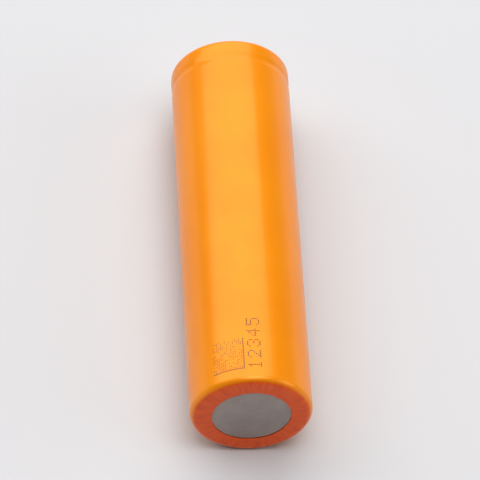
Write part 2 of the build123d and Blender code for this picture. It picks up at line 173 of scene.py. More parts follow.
def turn(bm, steps=spin_steps, axis=(0, 1, 0), merge_distance=0.0001 * mm):
    """Spin everything in the bmesh once round the axis, merge its doubles and turn its faces outwards."""
    bmesh.ops.spin(
        bm, geom=bm.verts[:] + bm.edges[:], cent=(0, 0, 0), axis=axis, dvec=(0, 0, 0),
        angle=math.tau, steps=steps, use_merge=True, use_duplicate=False,
    )
    bmesh.ops.remove_doubles(bm, verts=bm.verts[:], dist=merge_distance)
    bmesh.ops.recalc_face_normals(bm, faces=bm.faces[:])
    sort_by_corners(bm)


def finish_piece(bm, name, smooth=True):
    """Lay the bmesh in its place in the frame and make it a piece that rides on the cell."""
    bmesh.ops.translate(bm, verts=bm.verts[:], vec=(0, negative_end, axis_height))
    for face in bm.faces:
        face.smooth = smooth
    mesh = bpy.data.meshes.new(name)
    bm.to_mesh(mesh)
    bm.free()
    piece = bpy.data.objects.new(name, mesh)
    bpy.context.scene.collection.objects.link(piece)
    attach(piece, body)
    print(name, "faces:", len(mesh.polygons))
    return piece


# %% [markdown]
# The film is a tube of plastic that was cut a little longer than the can and shrunk with hot air. Its
# side is smooth and tight. Over each end it turned in on a soft corner and had to lose half its
# circumference, so it gathered in small radial ripples, and its cut edge wanders. Over the rolled groove
# it spans the hollow as a shallow dip. One chain gives the outer face; its fold is divided finely enough
# to be rippled, and a Solidify modifier then gives the film its thickness.

# %% Shrink sleeve
fold_edge_radius = 5.9 * mm
near_corner_radius = 1.09 * mm
far_corner_radius = 1.0 * mm
far_edge_radius = 6.99 * mm
far_fold_h = along(washer_high.y) + film_wall
dip_start_h = 60.5 * mm
dip_end_h = 62.15 * mm
dip_depth = 0.13 * mm
dip_bend = 1.8 * mm
near_ripple = -0.05 * mm
near_wander = 0.07 * mm
far_ripple = 0.12 * mm
far_wander = 0.10 * mm
ripple_cuts = 14
fold_start_share = 0.7
film_share = 0.9


# Every wave below goes round a whole number of times, so each pattern meets itself again.
def ripple(angle):
    """Uneven ripples of gathered film, between -1 and 1."""
    return (
        0.45 * math.sin(29 * angle + 0.6 + 0.8 * math.sin(3 * angle))
        + 0.35 * math.sin(43 * angle + 2.1 + 0.6 * math.sin(5 * angle + 1.0))
        + 0.20 * math.sin(11 * angle + 0.3)
    )


def wander(angle):
    """How the cut edge of the film wanders in and out, between -1 and 1."""
    return (
        0.50 * math.sin(2 * angle + 0.5)
        + 0.30 * math.sin(5 * angle + 1.1)
        + 0.20 * math.sin(17 * angle + 0.2)
    )


def gather(bm, face_h, corner_radius, edge_radius, height, edge_shift):
    """Ripple the film that is folded in at one end, more towards its free edge.

    The height is signed: the ripples stand away from the can's face at either end.
    """
    start_radius = cell_radius - fold_start_share * corner_radius
    for vert in bm.verts:
        radius = math.hypot(vert.co.x, vert.co.z)
        if abs(vert.co.y - face_h) > corner_radius or radius > start_radius:
            continue
        angle = math.atan2(vert.co.x, vert.co.z)
        share = min(1.0, (start_radius - radius) / (start_radius - edge_radius))
        vert.co.y += height * share * (0.5 + 0.5 * ripple(angle))
        moved = radius + edge_shift * wander(angle) * share**3
        vert.co.x *= moved / radius
        vert.co.z *= moved / radius


bm = bmesh.new()
corners = chain(bm, [
    (fold_edge_radius, 0),
    (cell_radius, 0),
    (cell_radius, dip_start_h),
    (cell_radius - dip_depth, (dip_start_h + dip_end_h) / 2),
    (cell_radius, dip_end_h),
    (cell_radius, far_fold_h),
    (far_edge_radius, far_fold_h),
])
round_corner(bm, corners[1], near_corner_radius, segments=10)
for corner in corners[2:5]:
    round_corner(bm, corner, dip_bend, segments=4)
round_corner(bm, corners[5], far_corner_radius, segments=10)
fold_edges = [edge for edge in bm.edges if any(len(vert.link_edges) == 1 for vert in edge.verts)]
bmesh.ops.subdivide_edges(bm, edges=fold_edges, cuts=ripple_cuts)
turn(bm)
gather(bm, 0, near_corner_radius, fold_edge_radius, near_ripple, near_wander)
gather(bm, far_fold_h, far_corner_radius, far_edge_radius, far_ripple, far_wander)
film_sleeve = finish_piece(bm, "film_sleeve")
film_thickness = film_sleeve.modifiers.new("film thickness", "SOLIDIFY")
film_thickness.thickness = film_wall * film_share
film_thickness.offset = -1
film_thickness.use_even_offset = True
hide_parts("shrink_sleeve")

# %% [markdown]
# The can is drawn from one sheet and is all there is to see of the negative end: its bare bottom, with a
# shallow ring that the press coined in it, and two small pits where the inner tab was spot-welded from
# outside. A section of its outer and inner face is turned, so every wall has its real thickness, and the
# bottom is divided into fine rings first, so that the pits can be pushed in by moving its points.

# %% Can
can_radius = (can_high.x - can_low.x) / 2
can_wall = 0.22 * mm
can_bottom = 0.30 * mm
half_wall = can_wall / 2
inner_radius = can_radius - can_wall
bottom_h = along(can_low.y)
inner_bottom_h = bottom_h + can_bottom
crimp_h = along(can_high.y)
crimp_lip = 2.46 * mm
coin_radius = 5.4 * mm
coin_half_width = 0.1 * mm
coin_depth = 0.05 * mm
groove_start_h = 60.75 * mm
groove_floor_h = 61.15 * mm
shelf_h = 62.12 * mm
groove_depth = 1.0 * mm
flank_shift = 0.074 * mm
pit_offset = 1.1 * mm
pit_radius = 0.5 * mm
pit_depth = 0.07 * mm
bottom_rings = 26
bottom_bend = 0.89 * mm
groove_bend = 0.40 * mm
nose_bend = 0.45 * mm
shelf_bend = 0.30 * mm
shoulder_bend = 0.55 * mm
coin_bend = 0.12 * mm
lip_bend = 0.05 * mm


def press_pits(bm):
    """Push the two weld pits into the outer face of the bottom."""
    for vert in bm.verts:
        if abs(vert.co.y - bottom_h) > 0.01 * mm:
            continue
        for side in (-1, 1):
            away = math.hypot(vert.co.x - side * pit_offset, vert.co.z)
            vert.co.y += pit_depth * math.exp(-((away / pit_radius) ** 4))


# Each corner is its radius, its h and its bend. A bend is given on the middle of the wall, so the face
# that lies on its outside adds half a wall and the other face takes half a wall off. Only the coined
# ring and the cut lip are on one face alone.
nose_radius = can_radius - groove_depth
inner_nose_radius = inner_radius - groove_depth
outer_face = [
    (0, bottom_h, 0),
    (coin_radius - coin_half_width, bottom_h, coin_bend),
    (coin_radius, bottom_h + coin_depth, coin_bend / 2),
    (coin_radius + coin_half_width, bottom_h, coin_bend),
    (can_radius, bottom_h, bottom_bend + half_wall),
    (can_radius, groove_start_h + flank_shift, groove_bend + half_wall),
    (nose_radius, groove_floor_h + flank_shift, groove_bend - half_wall),
    (nose_radius, shelf_h - half_wall, nose_bend - half_wall),
    (can_radius, shelf_h - half_wall, shelf_bend + half_wall),
    (can_radius, crimp_h, shoulder_bend + half_wall),
    (can_radius - crimp_lip, crimp_h, lip_bend),
]
inner_face = [
    (can_radius - crimp_lip, crimp_h - can_wall, lip_bend),
    (inner_radius, crimp_h - can_wall, shoulder_bend - half_wall),
    (inner_radius, shelf_h + half_wall, shelf_bend - half_wall),
    (inner_nose_radius, shelf_h + half_wall, nose_bend + half_wall),
    (inner_nose_radius, groove_floor_h - flank_shift, groove_bend + half_wall),
    (inner_radius, groove_start_h - flank_shift, groove_bend - half_wall),
    (inner_radius, inner_bottom_h, bottom_bend - half_wall),
    (0, inner_bottom_h, 0),
]
bm = bmesh.new()
section = outer_face + inner_face
corners = chain(bm, [(radius, h) for radius, h, bend in section])
for corner, (radius, h, bend) in zip(corners, section):
    if bend:
        round_corner(bm, corner, bend, segments=4)
centre_edges = [edge for edge in bm.edges if any(vert.co.x == 0 for vert in edge.verts)]
flat_edges = [edge for edge in centre_edges if edge.verts[0].co.y < inner_bottom_h / 2]
bmesh.ops.subdivide_edges(bm, edges=flat_edges, cuts=bottom_rings)
turn(bm)
press_pits(bm)
drawn_can = finish_piece(bm, "drawn_can")
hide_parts("can")

# %% [markdown]
# The terminal cap is stamped from one sheet: a flange that the crimp holds, a slope with four vent
# windows, and a raised flat face. It is turned as the middle of the sheet, with edges of the slope set
# at the windows' sill and head. The faces inside each window are deleted, one level of subdivision
# rounds the windows' corners, and Solidify and Bevel give the sheet its thickness and soft edges.

# %% Terminal cap
cap_sheet = 0.40 * mm
cap_flange_radius = (cap_high.x - cap_low.x) / 2
cap_flange_h = along(cap_low.y) + cap_sheet / 2
cap_face_h = along(cap_high.y) - cap_sheet / 2
cap_foot_radius = 5.3 * mm
cap_face_radius = 4.3 * mm
cap_face_bend = 0.35 * mm
cap_foot_bend = 0.20 * mm
cap_edge = 0.04 * mm
cap_steps = 120
window_count = 4
window_half_angle = math.radians(13.4)
window_sill = 0.22 * mm
window_height = 0.65 * mm
window_sill_h = cap_flange_h + cap_sheet / 2 + window_sill
window_head_h = window_sill_h + window_height


def on_slope(h):
    """The (radius, h) corner of the cap's slope at h."""
    share = (h - cap_flange_h) / (cap_face_h - cap_flange_h)
    return cap_foot_radius + share * (cap_face_radius - cap_foot_radius), h


def in_window(face):
    """Whether a face of the turned cap lies inside a vent window."""
    centre = face.calc_center_median()
    if not window_sill_h < centre.y < window_head_h:
        return False
    quarter = math.tau / window_count
    angle = math.atan2(centre.x, centre.z) % quarter
    return abs(angle - quarter / 2) < window_half_angle


bm = bmesh.new()
corners = chain(bm, [
    (0, cap_face_h),
    (cap_face_radius, cap_face_h),
    on_slope(window_head_h),
    on_slope(window_sill_h),
    (cap_foot_radius, cap_flange_h),
    (cap_flange_radius, cap_flange_h),
])
round_corner(bm, corners[1], cap_face_bend, segments=4)
round_corner(bm, corners[4], cap_foot_bend, segments=3)
turn(bm, cap_steps)
cut = [face for face in bm.faces if in_window(face)]
bmesh.ops.delete(bm, geom=cut, context="FACES")
terminal_cap = finish_piece(bm, "terminal_cap")
rounding = terminal_cap.modifiers.new("rounded windows", "SUBSURF")
rounding.levels = rounding.render_levels = 1
sheet = terminal_cap.modifiers.new("sheet thickness", "SOLIDIFY")
sheet.thickness = cap_sheet
sheet.offset = 0
soft_edges = terminal_cap.modifiers.new("soft edges", "BEVEL")
soft_edges.width = cap_edge
soft_edges.segments = 2
soft_edges.limit_method = "ANGLE"
soft_edges.angle_limit = math.radians(50)
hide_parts("positive_cap")

# %% [markdown]
# The washer is die-cut from pressed fibre board. It is a closed ring section, turned, with the corners
# of the section just broken by the die.

# %% Fibre washer
washer_outer_radius = (washer_high.x - washer_low.x) / 2
washer_inner_radius = 5.3 * mm
washer_bottom_h = along(washer_low.y)
washer_top_h = along(washer_high.y)
washer_edge = 0.05 * mm
bm = bmesh.new()
corners = chain(bm, [
    (washer_inner_radius, washer_bottom_h),
    (washer_outer_radius, washer_bottom_h),
    (washer_outer_radius, washer_top_h),
    (washer_inner_radius, washer_top_h),
], closed=True)
for corner in corners:
    round_corner(bm, corner, washer_edge, segments=2)
turn(bm)
fibre_washer = finish_piece(bm, "fibre_washer")
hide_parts("insulating_washer")

# %% [markdown]
# The sleeve is printed by an ink-jet coder as the cell passes it: a line of plain digits and a block of
# dots, near the negative end. The block has two solid edges, and within them a seeded draw leaves about
# half of the places bare and prints smaller dots on the rest, so it encodes nothing. Each dot of ink is
# a low disc that lies on the curve of the film. A digit is written out as rows of x and space.

# %% Printed marks
dot_radius = 0.14 * mm
inner_dot_radius = 0.10 * mm
dot_height = 0.012 * mm
dot_taper = 0.8
digit_dots = {
    "1": ("  x  ", " xx  ", "  x  ", "  x  ", "  x  ", "  x  ", " xxx "),
    "2": (" xxx ", "x   x", "    x", "   x ", "  x  ", " x   ", "xxxxx"),
    "3": (" xxx ", "x   x", "    x", "  xx ", "    x", "x   x", " xxx "),
    "4": ("   x ", "  xx ", " x x ", "x  x ", "xxxxx", "   x ", "   x "),
    "5": ("xxxxx", "x    ", "xxxx ", "    x", "    x", "x   x", " xxx "),
}


def ink_dot(bm, angle, h, radius=dot_radius):
    """One dot of ink, at an angle round from the top of the cell and at h."""
    lying = Matrix.Rotation(angle, 4, "Y") @ Matrix.Translation((0, h, cell_radius))
    bmesh.ops.create_cone(
        bm, cap_ends=True, segments=8, radius1=radius, radius2=radius * dot_taper,
        depth=dot_height, matrix=lying,
    )


digit_pitch_along = 0.28 * mm
digit_pitch_round = 0.30 * mm
digit_step = 1.93 * mm
digits_start_h = 2.4 * mm
digits_top_angle = math.radians(-5.0)
bm = bmesh.new()
for place, digit in enumerate("12345"):
    for row, dots in enumerate(digit_dots[digit]):
        for column, dot in enumerate(dots):
            if dot == "x":
                angle = digits_top_angle + row * digit_pitch_round / cell_radius
                ink_dot(bm, angle, digits_start_h + place * digit_step + column * digit_pitch_along)
printed_digits = finish_piece(bm, "printed_digits", smooth=False)

block_rows = 18
block_columns = 16
block_pitch = 0.315 * mm
block_start_h = 2.4 * mm
block_right_angle = math.radians(-9.5)
inked_share = 0.5
scatter = random.Random(16)
bm = bmesh.new()
for row in range(block_rows):
    for column in range(block_columns):
        on_edge = row == 0 or column == 0
        if on_edge or scatter.random() < inked_share:
            angle = block_right_angle - column * block_pitch / cell_radius
            radius = dot_radius if on_edge else inner_dot_radius
            ink_dot(bm, angle, block_start_h + row * block_pitch, radius)
printed_block = finish_piece(bm, "printed_block", smooth=False)

# %% [markdown]
# A node tree is easier to read when each node is one line. `put` adds a node, sets its settings, and
# feeds its sockets with plain values or with what other nodes put out. The three helpers under it stand
# for the nodes that every finish uses.

# %% Shader helpers
def put(tree, kind, sockets=None, **settings):
    """Add a node with its settings, and feed its sockets."""
    node = tree.nodes.new("ShaderNode" + kind)
    for name, value in settings.items():
        setattr(node, name, value)
    for name, value in (sockets or {}).items():
        if isinstance(value, bpy.types.NodeSocket):
            tree.links.new(value, node.inputs[name])
        else:
            node.inputs[name].default_value = value
    return node


def calc(tree, operation, first, second=0.0):
    """One Math node."""
    return put(tree, "Math", {0: first, 1: second}, operation=operation).outputs[0]


def ramp(tree, value, start, end, low=0.0, high=1.0):
    """A smooth step from low to high as value goes from start to end."""
    sockets = {"Value": value, "From Min": start, "From Max": end, "To Min": low, "To Max": high}
    return put(tree, "MapRange", sockets, interpolation_type="SMOOTHSTEP").outputs["Result"]


def mix(tree, share, first, second):
    """One colour turning into another."""
    node = put(tree, "Mix", {0: share, 6: first, 7: second}, data_type="RGBA")
    return node.outputs[2]


def bump(tree, height, depth):
    """A normal from a height that varies between 0 and 1, for a relief of this depth."""
    return put(tree, "Bump", {"Height": height, "Strength": 1.0, "Distance": depth}).outputs["Normal"]


# %% [markdown]
# Some effects are shared, so each is a node group, built once. The first turns Object coordinates into
# the cell's own: millimetres from its axis and from its negative end, with the radius and the distance
# along as values of their own. It lets a finish say "near the folded edge" or "round the axis".

# %% Group: place on the cell
def new_group(name, inputs, outputs):
    """An empty node group with its sockets, and its two end nodes."""
    tree = bpy.data.node_groups.new(name, "ShaderNodeTree")
    for label, kind, default in inputs:
        socket = tree.interface.new_socket(label, in_out="INPUT", socket_type="NodeSocket" + kind)
        if default is not None:
            socket.default_value = default
    for label, kind in outputs:
        tree.interface.new_socket(label, in_out="OUTPUT", socket_type="NodeSocket" + kind)
    return tree, tree.nodes.new("NodeGroupInput").outputs, tree.nodes.new("NodeGroupOutput").inputs


def make_cell_place():
    tree, _, result = new_group(
        "cell_place", [], [("Place", "Vector"), ("Radius", "Float"), ("Along", "Float"), ("Rings", "Vector")]
    )
    to_axis = (0, -negative_end / mm, -axis_height / mm)
    local = put(tree, "TexCoord").outputs["Object"]
    place = put(tree, "Mapping", {"Vector": local, "Location": to_axis, "Scale": (1 / mm, 1 / mm, 1 / mm)})
    parts = put(tree, "SeparateXYZ", {0: place.outputs[0]}).outputs
    squares = calc(tree, "ADD", calc(tree, "POWER", parts["X"], 2.0), calc(tree, "POWER", parts["Z"], 2.0))
    radius = calc(tree, "SQRT", squares)
    rings = put(tree, "CombineXYZ", {"X": radius, "Y": parts["Y"], "Z": 0.0})
    tree.links.new(place.outputs[0], result["Place"])
    tree.links.new(radius, result["Radius"])
    tree.links.new(parts["Y"], result["Along"])
    tree.links.new(rings.outputs[0], result["Rings"])
    return tree


cell_place = make_cell_place()

# %% [markdown]
# `lines` is fine straight tool marks: noise that is stretched a long way in one direction. Fed with the
# place it gives the lines of drawn or rolled metal and film; fed with `Rings` it gives circles round the
# axis, as a press and a polishing wheel leave.

# %% Group: lines
def make_lines():
    tree, given, result = new_group(
        "lines", [("Vector", "Vector", None), ("Stretch", "Vector", (1, 1, 1))], [("Height", "Float")]
    )
    stretched = put(tree, "VectorMath", {0: given["Vector"], 1: given["Stretch"]}, operation="MULTIPLY")
    sockets = {"Vector": stretched.outputs[0], "Scale": 1.0, "Detail": 4.0, "Roughness": 0.6}
    noise = put(tree, "TexNoise", sockets)
    tree.links.new(ramp(tree, noise.outputs["Fac"], 0.3, 0.7), result["Height"])
    return tree


lines = make_lines()

# %% [markdown]
# `cloud` is the slow change of tone that no real surface is without, and `scratches` is the handling:
# noise stretched into long thin streaks, of which only the few brightest are kept, in three directions.

# %% Groups: cloud and scratches
def make_cloud():
    tree, given, result = new_group(
        "cloud", [("Vector", "Vector", None), ("Size", "Float", 4.0)], [("Share", "Float")]
    )
    scale = calc(tree, "DIVIDE", 1.0, given["Size"])
    sockets = {"Vector": given["Vector"], "Scale": scale, "Detail": 3.0, "Roughness": 0.5}
    noise = put(tree, "TexNoise", sockets)
    tree.links.new(ramp(tree, noise.outputs["Fac"], 0.35, 0.65), result["Share"])
    return tree


streak_tilts = (0.35, 1.25, -0.8)
streak_stretch = (0.05, 1.0, 1.0)
streak_start = 0.76
streak_full = 0.86


def make_scratches():
    tree, given, result = new_group(
        "scratches", [("Vector", "Vector", None), ("Fineness", "Float", 5.0)], [("Mask", "Float")]
    )
    mask = 0.0
    for tilt in streak_tilts:
        sockets = {"Vector": given["Vector"], "Angle": tilt}
        turned = put(tree, "VectorRotate", sockets, rotation_type="Y_AXIS")
        long = put(tree, "VectorMath", {0: turned.outputs[0], 1: streak_stretch}, operation="MULTIPLY")
        sockets = {"Vector": long.outputs[0], "Scale": given["Fineness"], "Detail": 0.0}
        noise = put(tree, "TexNoise", sockets)
        sockets = {"Value": noise.outputs["Fac"], "From Min": streak_start, "From Max": streak_full}
        streak = put(tree, "MapRange", sockets)
        mask = calc(tree, "MAXIMUM", mask, streak.outputs["Result"])
    tree.links.new(mask, result["Mask"])
    return tree


cloud = make_cloud()
scratches = make_scratches()
print("groups:", [group.name for group in bpy.data.node_groups])

# %% [markdown]
# Each material starts the same way: a Principled shader and the cell's own coordinates.

# %% Material start
def new_material(name):
    """A material with its tree, its Principled shader and the outputs of the cell's coordinates."""
    material = bpy.data.materials.new(name)
    material.use_nodes = True
    tree = material.node_tree
    place = put(tree, "Group", node_tree=cell_place).outputs
    return material, tree, tree.nodes["Principled BSDF"].inputs, place


def feed(tree, value, socket):
    """Link an output to one of the shader's sockets."""
    tree.links.new(value, socket)


# %% [markdown]
# The sleeve film is a glossy, deeply coloured plastic. Where it covers the bright can it looks a light
# orange. Where it gathered over the negative end it is doubled and dark beneath, so it goes a red orange;
# that end faces away from the lights, so its red orange is also painted shade, and each crease is painted
# a little darker, which is painted shade too. Two ramps mark each fold, one by radius and one by the
# place along, in millimetres. Some light passes the film and comes back coloured from the steel, which a
# small metallic share stands for. Faint lines from its extrusion and a shallow orange peel break its gloss.

# %% Sleeve film
near_bend_radius = 8.95
near_flat_radius = 8.45
near_side_h = 1.5
near_bend_h = 0.7
far_bend_radius = 8.9
far_flat_radius = 8.3
far_side_h = 62.5
far_bend_h = 63.5
far_fold_share = 0.35
creases_per_radian = 14.0
crease_stretch = 0.3
peel_depth = 0.012 * mm


def make_sleeve_film():
    material, tree, shader, place = new_material("sleeve_film")
    tone = put(tree, "Group", {"Vector": place["Place"], "Size": 9.0}, node_tree=cloud).outputs[0]
    side = mix(tree, tone, (0.94, 0.285, 0.002, 1), (0.92, 0.265, 0.001, 1))
    near_fold = ramp(tree, place["Radius"], near_bend_radius, near_flat_radius)
    near_end = ramp(tree, place["Along"], near_side_h, near_bend_h)
    near = calc(tree, "MULTIPLY", near_fold, near_end)
    far_fold = ramp(tree, place["Radius"], far_bend_radius, far_flat_radius, 0.0, far_fold_share)
    far_end = ramp(tree, place["Along"], far_side_h, far_bend_h)
    far = calc(tree, "MULTIPLY", far_fold, far_end)
    parts = put(tree, "SeparateXYZ", {0: place["Place"]}).outputs
    turned = calc(tree, "ARCTAN2", parts["X"], parts["Z"])
    spread = calc(tree, "MULTIPLY", turned, creases_per_radian)
    inward = calc(tree, "MULTIPLY", place["Radius"], crease_stretch)
    spokes = put(tree, "CombineXYZ", {"X": spread, "Y": inward}).outputs[0]
    # The fold colours below are partly the doubled film and partly painted shade of the negative end, and
    # the darker one, which the crease noise picks out, is painted shade in the creases.
    crease_shade = put(tree, "TexNoise", {"Vector": spokes, "Scale": 1.0, "Detail": 2.0}).outputs["Fac"]
    doubled_film_and_shade = mix(tree, ramp(tree, crease_shade, 0.35, 0.7), (0.84, 0.10, 0.001, 1), (0.74, 0.070, 0.001, 1))
    film_with_fold_shade = mix(tree, calc(tree, "MAXIMUM", near, far), side, doubled_film_and_shade)
    feed(tree, film_with_fold_shade, shader["Base Color"])
    drawn = put(tree, "Group", {"Vector": place["Place"], "Stretch": (1.2, 0.03, 1.2)}, node_tree=lines)
    slow_rough = ramp(tree, tone, 0.0, 1.0, 0.285, 0.305)
    rough = calc(tree, "ADD", slow_rough, calc(tree, "MULTIPLY", drawn.outputs[0], 0.03))
    feed(tree, rough, shader["Roughness"])
    peel = put(tree, "TexNoise", {"Vector": place["Place"], "Scale": 0.5, "Detail": 0.0}).outputs["Fac"]
    feed(tree, bump(tree, peel, peel_depth), shader["Normal"])
    shader["Metallic"].default_value = 0.18
    shader["Specular IOR Level"].default_value = 0.25
    shader["Coat Weight"].default_value = 0.2
    shader["Coat Roughness"].default_value = 0.12
    shader["IOR"].default_value = 1.42
    return material


# %% [markdown]
# The marks are black ink that soaked a little into the orange film, so it dries a warm brown and is not
# equally dark everywhere.

# %% Ink
def make_ink():
    material, tree, shader, place = new_material("print_ink")
    tone = put(tree, "Group", {"Vector": place["Place"], "Size": 1.2}, node_tree=cloud).outputs[0]
    feed(tree, mix(tree, tone, (0.10, 0.032, 0.006, 1), (0.22, 0.07, 0.010, 1)), shader["Base Color"])
    feed(tree, ramp(tree, tone, 0.0, 1.0, 0.5, 0.65), shader["Roughness"])
    return material


# %% [markdown]
# The metals share one recipe. A stamped or drawn sheet has a base tone that drifts a little, tool marks
# that catch the light, and scratches from handling that are rougher and a touch darker. The recipe takes
# the direction of the tool marks: rings for what a press or a wheel made, straight lines for what was
# rolled.

# %% Metals
tone_share = 0.25
rub_share = 0.4
mark_depth = 0.002 * mm


def make_metal(name, colour, dull_colour, roughness, marks_on, stretch):
    material, tree, shader, place = new_material(name)
    tone = put(tree, "Group", {"Vector": place["Place"], "Size": 3.0}, node_tree=cloud).outputs[0]
    marks = put(tree, "Group", {"Vector": place[marks_on], "Stretch": stretch}, node_tree=lines).outputs[0]
    rubs = put(tree, "Group", {"Vector": place["Place"], "Fineness": 6.0}, node_tree=scratches).outputs[0]
    drifted = calc(tree, "MULTIPLY", tone, tone_share)
    rubbed = calc(tree, "MULTIPLY", rubs, rub_share)
    dull = calc(tree, "MAXIMUM", drifted, rubbed)
    feed(tree, mix(tree, dull, colour, dull_colour), shader["Base Color"])
    shader["Metallic"].default_value = 1.0
    marked_rough = ramp(tree, marks, 0.0, 1.0, roughness, roughness + 0.08)
    rough = calc(tree, "ADD", marked_rough, calc(tree, "MULTIPLY", dull, 0.12))
    feed(tree, rough, shader["Roughness"])
    height = calc(tree, "SUBTRACT", marks, calc(tree, "MULTIPLY", rubs, 0.5))
    feed(tree, bump(tree, height, mark_depth), shader["Normal"])
    return material


# The can steel is coloured darker and warmer than plated steel is: painted shade and a warm painted
# reflection, since the only bare steel in view, the negative end, faces away from the lights.
def make_shaded_can_steel():
    return make_metal(
        "can_steel", colour=(0.34, 0.295, 0.27, 1), dull_colour=(0.20, 0.165, 0.15, 1),
        roughness=0.29, marks_on="Rings", stretch=(9.0, 0.4, 1.0),
    )


def make_cap_steel():
    return make_metal(
        "cap_steel", colour=(0.70, 0.67, 0.62, 1), dull_colour=(0.48, 0.45, 0.41, 1),
        roughness=0.285, marks_on="Rings", stretch=(7.0, 0.5, 1.0),
    )


def make_pin_steel():
    return make_metal(
        "pin_steel", colour=(0.60, 0.59, 0.57, 1), dull_colour=(0.42, 0.41, 0.40, 1),
        roughness=0.30, marks_on="Place", stretch=(4.0, 0.15, 4.0),
    )


def make_vent_aluminium():
    return make_metal(
        "vent_aluminium", colour=(0.80, 0.80, 0.81, 1), dull_colour=(0.62, 0.62, 0.63, 1),
        roughness=0.34, marks_on="Rings", stretch=(5.0, 0.5, 1.0),
    )


def make_plate_aluminium():
    return make_metal(
        "plate_aluminium", colour=(0.76, 0.76, 0.77, 1), dull_colour=(0.60, 0.60, 0.61, 1),
        roughness=0.38, marks_on="Place", stretch=(0.3, 5.0, 5.0),
    )


def make_tab_aluminium():
    return make_metal(
        "tab_aluminium", colour=(0.82, 0.82, 0.83, 1), dull_colour=(0.66, 0.66, 0.67, 1),
        roughness=0.30, marks_on="Place", stretch=(6.0, 0.2, 6.0),
    )


def make_tab_nickel():
    return make_metal(
        "tab_nickel", colour=(0.70, 0.66, 0.58, 1), dull_colour=(0.52, 0.49, 0.43, 1),
        roughness=0.29, marks_on="Place", stretch=(6.0, 0.2, 6.0),
    )


# %% [markdown]
# The fibre washer is off-white pressed board. A fine noise that a wider one pushes about stands for its
# matted fibres, in its colour, in its gloss and in its relief.

# %% Fibre board
def make_fibre_washer():
    material, tree, shader, place = new_material("fibre_washer")
    bent = put(tree, "TexNoise", {"Vector": place["Place"], "Scale": 0.8, "Detail": 2.0}).outputs["Color"]
    sockets = {0: place["Place"], 1: bent, 2: (2.5, 2.5, 2.5)}
    matted = put(tree, "VectorMath", sockets, operation="MULTIPLY_ADD")
    fibres = put(tree, "TexNoise", {"Vector": matted.outputs[0], "Scale": 5.0, "Detail": 4.0}).outputs["Fac"]
    feed(tree, mix(tree, fibres, (0.66, 0.64, 0.58, 1), (0.82, 0.80, 0.74, 1)), shader["Base Color"])
    feed(tree, ramp(tree, fibres, 0.0, 1.0, 0.95, 0.75), shader["Roughness"])
    feed(tree, bump(tree, fibres, 0.015 * mm), shader["Normal"])
    return material


# %% [markdown]
# The plastics also share a recipe: a moulded or rolled skin with a slow drift of tone, and a fine grain
# whose size and depth differ from piece to piece.

# %% Plastics
def make_plastic(name, light, dark, roughness, grain_size, grain_depth):
    material, tree, shader, place = new_material(name)
    tone = put(tree, "Group", {"Vector": place["Place"], "Size": 5.0}, node_tree=cloud).outputs[0]
    sockets = {"Vector": place["Place"], "Scale": 1.0 / grain_size, "Detail": 3.0}
    grain = put(tree, "TexNoise", sockets).outputs["Fac"]
    share = calc(tree, "MULTIPLY", calc(tree, "ADD", tone, grain), 0.5)
    feed(tree, mix(tree, share, light, dark), shader["Base Color"])
    feed(tree, ramp(tree, grain, 0.3, 0.7, roughness, roughness + 0.12), shader["Roughness"])
    feed(tree, bump(tree, grain, grain_depth), shader["Normal"])
    return material


def make_gasket_plastic():
    return make_plastic(
        "gasket_plastic", light=(0.80, 0.82, 0.83, 1), dark=(0.70, 0.72, 0.74, 1),
        roughness=0.38, grain_size=0.5, grain_depth=0.004 * mm,
    )


def make_cid_plastic():
    return make_plastic(
        "cid_plastic", light=(0.84, 0.81, 0.71, 1), dark=(0.76, 0.72, 0.61, 1),
        roughness=0.42, grain_size=0.4, grain_depth=0.004 * mm,
    )


def make_insulator_plastic():
    return make_plastic(
        "insulator_plastic", light=(0.86, 0.86, 0.84, 1), dark=(0.77, 0.77, 0.75, 1),
        roughness=0.45, grain_size=0.8, grain_depth=0.006 * mm,
    )


def make_tab_tape():
    return make_plastic(
        "tab_tape", light=(0.72, 0.36, 0.05, 1), dark=(0.60, 0.27, 0.03, 1),
        roughness=0.29, grain_size=1.5, grain_depth=0.003 * mm,
    )


def make_roll_tape():
    return make_plastic(
        "roll_tape", light=(0.09, 0.30, 0.50, 1), dark=(0.06, 0.23, 0.42, 1),
        roughness=0.29, grain_size=2.0, grain_depth=0.004 * mm,
    )


# %% [markdown]
# The separator is a white film as thin as a hair, stretched along its length as it is made, so its tone
# runs in bands round the roll. The electrodes are foil coated with powder: matt, nearly black, and
# speckled. The positive one is a bluish black oxide, the negative one a greyer graphite.

# %% Wound layers
def make_separator_film():
    material, tree, shader, place = new_material("separator_film")
    sockets = {"Vector": place["Place"], "Stretch": (0.3, 4.0, 0.3)}
    bands = put(tree, "Group", sockets, node_tree=lines).outputs[0]
    feed(tree, mix(tree, bands, (0.90, 0.90, 0.89, 1), (0.82, 0.83, 0.83, 1)), shader["Base Color"])
    feed(tree, ramp(tree, bands, 0.0, 1.0, 0.45, 0.6), shader["Roughness"])
    feed(tree, bump(tree, bands, 0.003 * mm), shader["Normal"])
    return material


def make_coating(name, dark, light):
    material, tree, shader, place = new_material(name)
    powder = put(tree, "TexNoise", {"Vector": place["Place"], "Scale": 14.0, "Detail": 4.0}).outputs["Fac"]
    sockets = {"Vector": place["Place"], "Stretch": (0.2, 2.5, 0.2)}
    streaks = put(tree, "Group", sockets, node_tree=lines).outputs[0]
    share = calc(tree, "MULTIPLY", calc(tree, "ADD", ramp(tree, powder, 0.35, 0.65), streaks), 0.5)
    feed(tree, mix(tree, share, dark, light), shader["Base Color"])
    feed(tree, ramp(tree, powder, 0.35, 0.65, 0.75, 0.95), shader["Roughness"])
    feed(tree, bump(tree, powder, 0.006 * mm), shader["Normal"])
    return material


def make_positive_coating():
    return make_coating("positive_coating", (0.018, 0.018, 0.022, 1), (0.045, 0.045, 0.052, 1))


